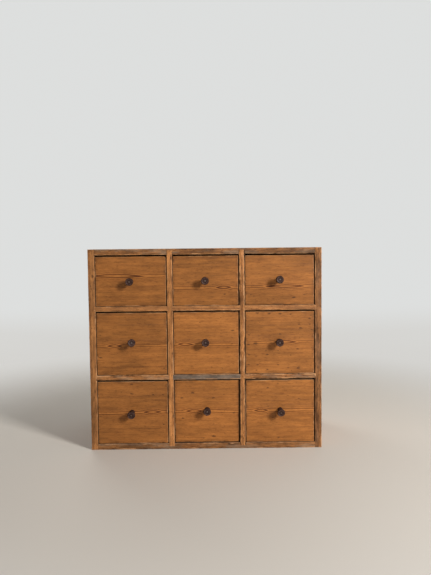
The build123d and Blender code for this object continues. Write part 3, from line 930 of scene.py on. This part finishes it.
def frame_pine():
    colours = finish()
    grain = {"Board Width": 134 * MM, "Heart Spread": 30 * MM, "Knots": 0.16, "Figure": 4 * MM}
    return waxed_pine("Waxed pine frame", colours.frame_light, colours.frame_dark, grain)


def grey_pine():
    colours = finish()
    return waxed_pine(
        "Grey rail pine", colours.grey_light, colours.grey_dark, {}, roughness=0.66
    )


def plain_pine(name, order, board_width, offset=0.0, knots=0.2, brightness=1.0, joint=0.0):
    """Bare pine for the CAD boards, read from their place in the cabinet.

    The order says which axes run along, across and into the boards, and the offset where the
    first one's middle is across them.
    """
    material, wire, shader = new_material(name)
    colours = finish()
    place = wire.place()
    axes = wire.split(place)
    along, across, depth = (axes["xyz".index(axis)] for axis in order)
    # A board's depth stays small wherever it lies in the cabinet.
    shallow = wire.add(
        11 * MM, wire.multiply(wire.math("SINE", wire.multiply(depth, 35.0)), 7 * MM)
    )
    wood = use_group(
        wire, "Pine grain",
        {
            "Place": wire.join(along, wire.subtract(across, offset), shallow),
            "Seed": wire.math("ROUND", wire.multiply(depth, 9.0)),
            "Ring Width": 1.15 * colours.ring_width, "Board Width": board_width,
            "Heart Spread": 0.25 * board_width, "Flame Length": 0.2, "Knots": knots,
        },
    )
    mark = use_group(wire, "Marks", {"Place": place, "Amount": 0.25})
    colour = wire.cover(
        colours.bare_light,
        (colours.bare_dark, wood["Rings"], 0.75),
        (colours.bare_dark, wire.smooth(wood["Streaks"], 0.36, 0.7), 0.25),
    )
    tone = wire.add(
        wire.smooth(wood["Tone"], 0.25, 0.75, 0.86 * brightness, 1.12 * brightness),
        wire.multiply(wire.subtract(wood["Board"], 0.5), 0.3),
    )
    dust = wire.smooth(wire.noise(place, (7, 7, 7), 4.0, 0.6), 0.45, 0.75)
    colour = wire.cover(
        wire.darken(colour, tone),
        (colours.front_dark, wood["Knot"], 0.85),
        (colours.grey_dark, dust, 0.25),
        (colours.grime, mark["Stains"], 0.5),
        (colours.grime, mark["Holes"]),
        (colours.grime, wood["Joint"], joint),
    )
    wire.feed(shader.inputs["Base Color"], colour)
    wire.feed(shader.inputs["Roughness"], wire.smooth(wood["Tone"], 0.3, 0.7, 0.66, 0.82))
    height = wire.add(
        wire.multiply(wood["Rings"], 0.5), wood["Fibre"], wire.multiply(mark["Holes"], -2.0)
    )
    bump(wire, shader, height, 0.35 * MM)
    return material


def knob_wood():
    """Dark turned wood, paler round the rim of the face: rubbed there, and with a painted
    highlight.
    """
    if "Dark knob wood" in bpy.data.materials:
        return bpy.data.materials["Dark knob wood"]
    material, wire, shader = new_material("Dark knob wood", specular=0.16)
    colours = finish()
    moved = wire.vector("ADD", wire.attribute("turned", "Vector"), wire.attribute("seed"))
    mottle = wire.noise(moved, (140, 140, 90), 4.0, 0.62)
    fibre = wire.noise(moved, (900, 900, 70), 2.0, 0.6)
    colour = wire.cover(
        wire.darken(colours.knob, wire.smooth(mottle, 0.3, 0.7, 0.6, 1.5)),
        # The paler ring: rubbed wood, with a painted highlight.
        (
            colours.knob_rubbed_and_highlit, wire.attribute("rubbed"),
            wire.smooth(mottle, 0.36, 0.62, 0.25, 1.0),
        ),
        (colours.knob_fibre, wire.smooth(fibre, 0.5, 0.8), 0.35),
    )
    wire.feed(shader.inputs["Base Color"], colour)
    wire.feed(shader.inputs["Roughness"], wire.smooth(mottle, 0.3, 0.7, 0.42, 0.64))
    height = wire.add(wire.multiply(mottle, 1.4), wire.multiply(fibre, 0.5))
    bump(wire, shader, height, 0.4 * MM)
    return material


def old_iron():
    """Dull iron with rust in patches."""
    if "Old iron" in bpy.data.materials:
        return bpy.data.materials["Old iron"]
    material, wire, shader = new_material("Old iron")
    colours = finish()
    rust = wire.smooth(wire.noise(wire.place(), (700, 700, 700), 4.0, 0.65), 0.42, 0.62)
    wire.feed(shader.inputs["Base Color"], wire.blend(rust, colours.iron, colours.rust))
    wire.feed(shader.inputs["Metallic"], wire.smooth(rust, 0.0, 1.0, 0.9, 0.1))
    wire.feed(shader.inputs["Roughness"], wire.smooth(rust, 0.0, 1.0, 0.42, 0.8))
    bump(wire, shader, rust, 0.1 * MM)
    return material


# ---- The frame
def build_board(name, node, low, high, arrises, order, heart, joints, chance):
    """A board of the frame, let into its neighbours, with its visible arrises rounded and worn.

    The order says which axes run along, across and into the board, and the heart where the heart
    line of its grain is.
    """
    wood, chip, threshold = FRAME_BOARDS[name]
    board = new_block(name, low, high)
    round_arrises(board, arrises, shape().arris)
    cut_away(board, joints)
    heal(board)
    along, *cross = ("xyz".index(axis) for axis in order)
    slice_up(board, along, shape().cut_spacing, chance)
    for axis in sorted(cross):
        cut_across(board, axis, (low[axis] + SHOULDER, high[axis] - SHOULDER))
    heal(board)
    wear_arrises(board, arrises, chip * shape().chip, threshold)
    store_wood(board, order, heart, wood)
    if name == GREY_RAIL:
        hand_over(board, CARCASS, node, grey_pine())
    else:
        hand_over(board, CARCASS, node, frame_pine())


class CABINET_OT_sides(bpy.types.Operator):
    """Build the two sides, with their housings for the other boards"""

    bl_idname = "cabinet.sides"
    bl_label = "Sides"

    def execute(self, context):
        gap = Vector((1, 1, 1)) * shape().joint_gap
        back_low, back_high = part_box("back_boards")
        for side, outer in (("left", "-x"), ("right", "+x")):
            node = "side_" + side
            low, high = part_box(node)
            arrises = ["-y-x", "-y+x", "-y+z", "-y-z", outer + "+z", outer + "-z", outer + "+y"]
            heart = Vector(((low.x + high.x) / 2 - 16 * MM, low.y + 62 * MM, 310 * MM))
            rebate = new_block("rebate", back_low - gap, back_high + gap)
            joints = [
                "top_board", "bottom_board", rebate, "upper_rails", "lower_rail_" + side,
                "carcass_nails",
            ]
            build_board(
                side + "_side_board", node, low, high, arrises, "zyx", heart, joints,
                random.Random(node),
            )
        return {"FINISHED"}


class CABINET_OT_top_and_bottom(bpy.types.Operator):
    """Build the top and the bottom, which are lapped into the sides"""

    bl_idname = "cabinet.top_and_bottom"
    bl_label = "Top and bottom"

    def execute(self, context):
        for node in ("top_board", "bottom_board"):
            low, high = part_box(node)
            heart = Vector((100 * MM, low.y + 70 * MM, (low.z + high.z) / 2 - 20 * MM))
            joints = ["side_left", "side_right", "divider_left", "divider_right"]
            build_board(
                "lapped_" + node, node, low, high, ["-y+z", "-y-z"], "xyz", heart, joints,
                random.Random(node),
            )
        return {"FINISHED"}


class CABINET_OT_dividers(bpy.types.Operator):
    """Build the two dividers, notched for the rails; the right one is the rougher"""

    bl_idname = "cabinet.dividers"
    bl_label = "Dividers"

    def execute(self, context):
        for side in ("left", "right"):
            node = "divider_" + side
            low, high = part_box(node)
            heart = Vector((low.x + 6 * MM, low.y + 35 * MM, 450 * MM))
            rails = ["upper_rails", "lower_rail_" + side, "lower_rail_centre"]
            build_board(
                side + "_divider_board", node, low, high, ["-y-x", "-y+x"], "zyx", heart, rails,
                random.Random(node),
            )
        return {"FINISHED"}


class CABINET_OT_rails(bpy.types.Operator):
    """Build the six rails between the rows, each grooved behind for its runners"""

    bl_idname = "cabinet.rails"
    bl_label = "Rails"

    def execute(self, context):
        groove_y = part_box("runners")[0].y
        past = 10 * MM  # how far the groove's cutter reaches past the rail
        for level in ("upper", "lower"):
            for column in COLUMNS:
                node = "lower_rail_" + column
                low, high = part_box(node)
                if level == "upper":
                    # One node holds the three upper rails, each above a lower one.
                    node = "upper_rails"
                    low.z, high.z = (corner.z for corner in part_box(node))
                middle = (low.z + high.z) / 2
                groove = new_block(
                    "groove",
                    Vector((low.x - past, groove_y, middle - RAIL_GROOVE / 2)),
                    Vector((high.x + past, high.y + past, middle + RAIL_GROOVE / 2)),
                )
                heart = Vector(
                    ((low.x + high.x) / 2 + 50 * MM, low.y + 18 * MM, low.z - 4 * MM)
                )
                build_board(
                    f"{level}_{column}_rail", node, low, high, ["-y-z", "-y+z"], "xyz", heart,
                    [groove], random.Random(level + column),
                )
        return {"FINISHED"}


# ---- The drawers
class CABINET_OT_fronts(bpy.types.Operator):
    """Build the nine drawer fronts, with the sockets and the groove behind them"""

    bl_idname = "cabinet.fronts"
    bl_label = "Drawer fronts"

    def execute(self, context):
        for number, drawer in enumerate(DRAWERS):
            body = "drawer_" + drawer
            node = body + "_front"
            low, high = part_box(node)
            chance = random.Random(node)
            front = new_block(drawer + "_front_board", low, high)
            corner = shape().knocked_corner if drawer == "top_left" else shape().front_corner
            round_arrises(front, ["+x+z"], corner, 5)
            round_arrises(front, ["-x+z", "-x-z", "+x-z"], shape().front_corner, 4)
            with editing(front, "FACE") as mesh:
                for face in mesh.faces:
                    if face.normal.y < -0.99:
                        face.select_set(True)
                bpy.ops.mesh.region_to_loop()
                bpy.ops.mesh.bevel(offset=shape().arris, segments=3, affect="EDGES")
            cut_away(front, [body + "_sides", body + "_bottom", body + "_knob"])
            for axis in (0, 2):
                slice_up(front, axis, 1.5 * shape().cut_spacing, chance)
            edges = ["-y-x", "-y+x", "-y-z", "-y+z"]
            wear_arrises(front, edges, FRONT_CHIP * shape().chip, 0.55)
            dent(front, cloud_texture("Planing", 90 * MM, 0.2), shape().planing)
            cut = FRONT_WOODS[drawer]
            middle = (low + high) / 2
            heart = Vector(
                (middle.x + cut.flame * MM, low.y - FRONT_HEART, middle.z + cut.heart * MM)
            )
            wood = Wood(
                2.7 + 6.3 * number, cut.tone, cut.stain, FRONT_WEAR,
                flame_length=cut.flame_length * MM,
            )
            store_wood(front, "xzy", heart, wood)
            hand_over(front, body, node, front_pine())
        return {"FINISHED"}


def turn(name, rings, segments, is_solid=False):
    """A turned piece along +Z, drawn out ring by ring from its lowest one.

    The rings are in mm. A solid piece starts and ends as a disc, and the other is open.
    """
    (radius, height), *others = ((radius * MM, height * MM) for radius, height in rings)
    extrude = bpy.ops.mesh.extrude_region_move if is_solid else bpy.ops.mesh.extrude_edges_move
    bpy.ops.object.select_all(action="DESELECT")
    bpy.ops.mesh.primitive_circle_add(
        vertices=segments, radius=radius, location=(0, 0, height),
        fill_type="NGON" if is_solid else "NOTHING",
    )
    piece = name_piece(name)
    settle(piece)
    with editing(piece, "VERT"):
        bpy.ops.mesh.select_all(action="SELECT")
        for next_radius, next_height in others:
            extrude(TRANSFORM_OT_translate={"value": (0, 0, next_height - height)})
            scale = next_radius / radius
            bpy.ops.transform.resize(
                value=(scale, scale, 1), center_override=(0, 0, next_height)
            )
            radius, height = next_radius, next_height
    return piece


def turn_outwards(piece):
    """Makes the faces of a closed shell point outwards."""
    with editing(piece):
        bpy.ops.mesh.select_all(action="SELECT")
        bpy.ops.mesh.normals_make_consistent(inside=False)


def knob_model():
    """The knob along +Z, its base at the origin and a hole through it for the screw."""
    knob = turn("knob_model", KNOB_RINGS, 48)
    with editing(knob) as mesh:
        for edge in mesh.edges:
            if edge.is_boundary:
                edge.select_set(True)
        bpy.ops.mesh.bridge_edge_loops()
    turn_outwards(knob)
    return knob


def screw_model(lift):
    """The slotted screw of a knob whose base stands that far off the front."""
    tip = (SCREW_RINGS[0][0], (-lift - SCREW_BITE) / MM)
    screw = turn("screw_model", (tip, *SCREW_RINGS), 24, is_solid=True)
    turn_outwards(screw)
    top = SCREW_RINGS[-1][1] * MM
    half_length, half_width = 6 * MM, SCREW_SLOT / 2
    slot = new_block(
        "slot",
        Vector((-half_length, -half_width, top - SCREW_SLOT)),
        Vector((half_length, half_width, top + 2 * MM)),
    )
    cut_away(screw, [slot])
    return screw


def knob_axis(node):
    """The direction of the axis that a CAD knob and its screw are turned about, and its end."""
    mesh = bmesh.new()
    mesh.from_mesh(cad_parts[node].data)
    bmesh.ops.remove_doubles(mesh, verts=mesh.verts, dist=SAME_PLACE)
    # The screw's tip is the flat face furthest inside the front, and it is square to the axis.
    deepest = max(mesh.faces, key=lambda face: round(face.calc_center_median().y, 7))
    axis = -deepest.normal
    middle = deepest.calc_center_median()
    tip = dict.fromkeys(
        vert
        for face in mesh.faces
        if face.normal.dot(deepest.normal) > 0.9999
        and abs((face.calc_center_median() - middle).dot(axis)) < SAME_PLACE
        for vert in face.verts
    )
    end = sum((vert.co for vert in tip), Vector()) / len(tip)
    mesh.free()
    return axis.normalized(), end


def knob_matrix(body, number):
    """The place and turn of a drawer's knob, and how far its base stands off the front."""
    face_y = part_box(body + "_front")[0].y
    axis, end = knob_axis(body + "_knob")
    # The axis meets the front's face here; the base stands off it by its leaning rim.
    lean = axis.angle(Vector((0, -1, 0)))
    lift = KNOB_SEAT + KNOB_RINGS[0][0] * MM * math.sin(lean)
    seat = end + axis * ((face_y - end.y) / axis.y + lift)
    # Each knob's slot and marks are turned to another angle.
    spin = Matrix.Rotation(math.radians(37 * number + 12), 4, "Z")
    stand = axis.to_track_quat("Z", "Y").to_matrix().to_4x4()
    return Matrix.Translation(seat) @ stand @ spin, lift


class CABINET_OT_knobs(bpy.types.Operator):
    """Turn the nine knobs and the screws that hold them, each standing as its CAD knob does"""

    bl_idname = "cabinet.knobs"
    bl_label = "Knobs and screws"

    def execute(self, context):
        model = knob_model()
        texture = cloud_texture("Knob knocks", 9 * MM, 0.45)
        for number, drawer in enumerate(DRAWERS):
            body = "drawer_" + drawer
            node = body + "_knob"
            matrix, lift = knob_matrix(body, number)
            knob = model.copy()
            knob.data = model.data.copy()
            knob.name = knob.data.name = drawer + "_turned_knob"
            context.scene.collection.objects.link(knob)
            places = points(knob)
            radius = np.hypot(places[:, 0], places[:, 1])
            # Paler in a ring on the face, less in its hollow and hardly at all round the head:
            # rubbed wood with a painted highlight on the ring.
            on_face = places[:, 2] > KNOB_FACE
            ring = np.exp(-(((radius - KNOB_RIM) / KNOB_RIM_SPREAD) ** 2))
            store(knob, "turned", places)
            store(knob, "rubbed", 0.08 + on_face * (0.22 + 0.7 * ring))
            store(knob, "seed", np.full(len(places), 3.1 * number))
            screw = screw_model(lift)
            screw.name = screw.data.name = drawer + "_slotted_screw"
            for piece in (knob, screw):
                piece.matrix_world = matrix
                settle(piece)
            dent(knob, texture, 0.5 * MM)
            hand_over(knob, body, node, knob_wood())
            hand_over(screw, body, node, old_iron())
        bpy.data.objects.remove(model)
        return {"FINISHED"}


# ---- The CAD pieces that stay
def set_material(node, material):
    """Puts a material on a CAD node that stays."""
    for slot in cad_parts[node].material_slots:
        slot.material = material


class CABINET_OT_drawer_boxes(bpy.types.Operator):
    """Give the drawers' dovetailed sides, their backs and their bottoms a bare pine"""

    bl_idname = "cabinet.drawer_boxes"
    bl_label = "Drawer boxes"

    def execute(self, context):
        materials = {
            "_sides": plain_pine("Drawer sides pine", "yzx", ROW_PITCH, FIRST_ROW),
            "_back": plain_pine("Drawer backs pine", "xzy", ROW_PITCH, FIRST_ROW),
            "_bottom": plain_pine("Drawer bottoms pine", "xyz", BOTTOM_BOARD_WIDTH, joint=0.8),
        }
        for drawer in DRAWERS:
            for ending, material in materials.items():
                set_material("drawer_" + drawer + ending, material)
        return {"FINISHED"}


class CABINET_OT_inside(bpy.types.Operator):
    """Finish the runners, the stops, the back boards and the nails"""

    bl_idname = "cabinet.inside"
    bl_label = "Inside, back and nails"

    def execute(self, context):
        low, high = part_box("back_boards")
        width = (high.x - low.x) / BACK_BOARD_COUNT
        back = plain_pine(
            "Back boards pine", "zxy", width, low.x + width / 2, knots=0.45, brightness=0.72
        )
        runner = plain_pine("Runner pine", "yxz", RUNNER_WIDTH, knots=0.0, brightness=0.85)
        for node, material in (
            ("back_boards", back), ("runners", runner), ("drawer_stops", runner),
            ("carcass_nails", old_iron()), ("back_nails", old_iron()),
        ):
            set_material(node, material)
        return {"FINISHED"}


# ---- The stage
def seen_directly(wire):
    """1 for rays that show the background itself, and 0 for those that light the cabinet."""
    rays = wire.node("ShaderNodeLightPath").outputs
    return wire.largest(
        rays["Is Camera Ray"], rays["Is Glossy Ray"], rays["Is Transmission Ray"]
    )


class CABINET_OT_stage(bpy.types.Operator):
    """Lay the floor and the backdrop, and set up the light and the camera"""

    bl_idname = "cabinet.stage"
    bl_label = "Stage"

    def execute(self, context):
        scene = context.scene
        stage = scene.cabinet_stage
        floor = self.build_floor(stage)
        floor.data.materials.append(self.floor_material(stage))
        scene.world = self.build_world(stage)
        self.add_lamp("Window light", WINDOW_PLACE, stage.key_size, stage.key_power)
        self.add_lamp("Light from behind", BACK_LIGHT_PLACE, BACK_LIGHT_SIZE, stage.back_power)
        self.aim_camera(scene, stage)
        scene.view_settings.view_transform = "Standard"
        return {"FINISHED"}

    def build_floor(self, stage):
        """One sheet: the floor, the bend and the backdrop."""
        bpy.ops.object.select_all(action="DESELECT")
        bpy.ops.mesh.primitive_plane_add(
            size=1, location=(0, stage.wall_distance - FLOOR_DEPTH / 2, CAD_LOW.z)
        )
        floor = name_piece("Floor")
        floor.scale = (FLOOR_WIDTH, FLOOR_DEPTH, 1)
        settle(floor)
        with editing(floor) as mesh:
            for edge in mesh.edges:
                if all(abs(vert.co.y - stage.wall_distance) < ON_EDGE for vert in edge.verts):
                    edge.select_set(True)
            bpy.ops.mesh.extrude_region_move(
                TRANSFORM_OT_translate={"value": (0, 0, WALL_HEIGHT)}
            )
        with editing(floor) as mesh:
            for edge in mesh.edges:
                if len(edge.link_faces) == 2:
                    edge.select_set(True)
            bpy.ops.mesh.bevel(offset=BEND_RADIUS, segments=16, affect="EDGES")
        select_only(floor)
        bpy.ops.object.shade_smooth()
        return floor

    def floor_material(self, stage):
        material, wire, shader = new_material("Floor and backdrop")
        place = wire.place()
        height = wire.split(place)[2]
        colour = wire.blend(wire.smooth(height, 0.0, 0.5), stage.floor, stage.wall)
        wire.feed(shader.inputs["Base Color"], colour)
        shader.inputs["Roughness"].default_value = 0.8
        # Away from the cabinet and its shadow, the camera and reflections see the plain colour.
        radius = wire.vector("LENGTH", place)
        far = wire.smooth(radius, 0.85, 2.2)
        rise = wire.largest(wire.smooth(height, 0.0, 0.35), wire.smooth(radius, 2.0, 5.5))
        plain = wire.blend(rise, stage.far_floor, stage.wall)
        glow = wire.node("ShaderNodeEmission", {"Color": plain})
        mix = wire.node(
            "ShaderNodeMixShader",
            {0: wire.multiply(seen_directly(wire), far), 1: shader.outputs[0], 2: glow.outputs[0]},
        )
        output = next(node for node in material.node_tree.nodes if node.type == "OUTPUT_MATERIAL")
        wire.feed(output.inputs["Surface"], mix.outputs[0])
        return material

    def build_world(self, stage):
        world = bpy.data.worlds.new("Studio")
        world.use_nodes = True
        world.node_tree.nodes.clear()
        wire = Wiring(world.node_tree)
        soft = wire.node("ShaderNodeBackground", {"Color": SKY_COLOUR, "Strength": stage.sky})
        seen = wire.node("ShaderNodeBackground", {"Color": stage.wall, "Strength": 1.0})
        mix = wire.node(
            "ShaderNodeMixShader",
            {0: seen_directly(wire), 1: soft.outputs[0], 2: seen.outputs[0]},
        )
        wire.node("ShaderNodeOutputWorld", {"Surface": mix.outputs[0]})
        return world

    def add_lamp(self, name, place, width, power):
        bpy.ops.object.light_add(type="AREA", location=place)
        lamp = name_piece(name)
        lamp.data.shape = "RECTANGLE"
        lamp.data.size, lamp.data.size_y = width, 1.3 * width
        lamp.data.energy = power
        lamp.data.color = LAMP_COLOUR
        lamp.visible_camera = False
        towards = LAMP_TARGET - lamp.location
        lamp.rotation_euler = towards.to_track_quat("-Z", "Y").to_euler()

    def aim_camera(self, scene, stage):
        right = Vector((math.cos(CAMERA_YAW), math.sin(CAMERA_YAW), 0))
        ahead = Vector((
            -math.sin(CAMERA_YAW) * math.cos(CAMERA_PITCH),
            math.cos(CAMERA_YAW) * math.cos(CAMERA_PITCH),
            -math.sin(CAMERA_PITCH),
        ))
        up = right.cross(ahead)
        rolled_right = right * math.cos(CAMERA_ROLL) + up * math.sin(CAMERA_ROLL)
        rolled_up = up * math.cos(CAMERA_ROLL) - right * math.sin(CAMERA_ROLL)
        bpy.ops.object.camera_add(location=CAMERA_PLACE)
        camera = name_piece("Camera")
        axes = Matrix((rolled_right, rolled_up, -ahead)).transposed()
        camera.rotation_euler = axes.to_euler()
        camera.data.lens = stage.lens
        camera.data.sensor_width = 36
        scene.camera = camera


# ---- The add-on
class CABINET_PT_panel(bpy.types.Panel):
    """Everything that builds the cabinet, in the order in which it is built"""

    bl_idname = "CABINET_PT_panel"
    bl_label = "Apothecary Cabinet"
    bl_space_type = "VIEW_3D"
    bl_region_type = "UI"
    bl_category = "Cabinet"

    def draw(self, context):
        for name, settings in SETTINGS.items():
            group = getattr(context.scene, name)
            box = self.layout.box()
            box.label(text=settings.__doc__)
            for key in settings.__annotations__:
                box.prop(group, key)
        for operator in OPERATORS:
            self.layout.operator(operator.bl_idname)


SETTINGS = {
    "cabinet_shape": CabinetShapeSettings,
    "cabinet_finish": CabinetFinishSettings,
    "cabinet_stage": CabinetStageSettings,
}
OPERATORS = (
    CABINET_OT_sides,
    CABINET_OT_top_and_bottom,
    CABINET_OT_dividers,
    CABINET_OT_rails,
    CABINET_OT_fronts,
    CABINET_OT_knobs,
    CABINET_OT_drawer_boxes,
    CABINET_OT_inside,
    CABINET_OT_stage,
)


def register():
    for settings in SETTINGS.values():
        bpy.utils.register_class(settings)
    for operator in OPERATORS:
        bpy.utils.register_class(operator)
    bpy.utils.register_class(CABINET_PT_panel)
    for name, settings in SETTINGS.items():
        setattr(bpy.types.Scene, name, PointerProperty(type=settings))


def unregister():
    for name in SETTINGS:
        delattr(bpy.types.Scene, name)
    bpy.utils.unregister_class(CABINET_PT_panel)
    for kind in (*reversed(OPERATORS), *reversed(SETTINGS.values())):
        bpy.utils.unregister_class(kind)


def main():
    register()
    for operator in OPERATORS:
        name = operator.bl_idname.split(".")[1]
        getattr(bpy.ops.cabinet, name)()


if __name__ == "__main__":
    main()
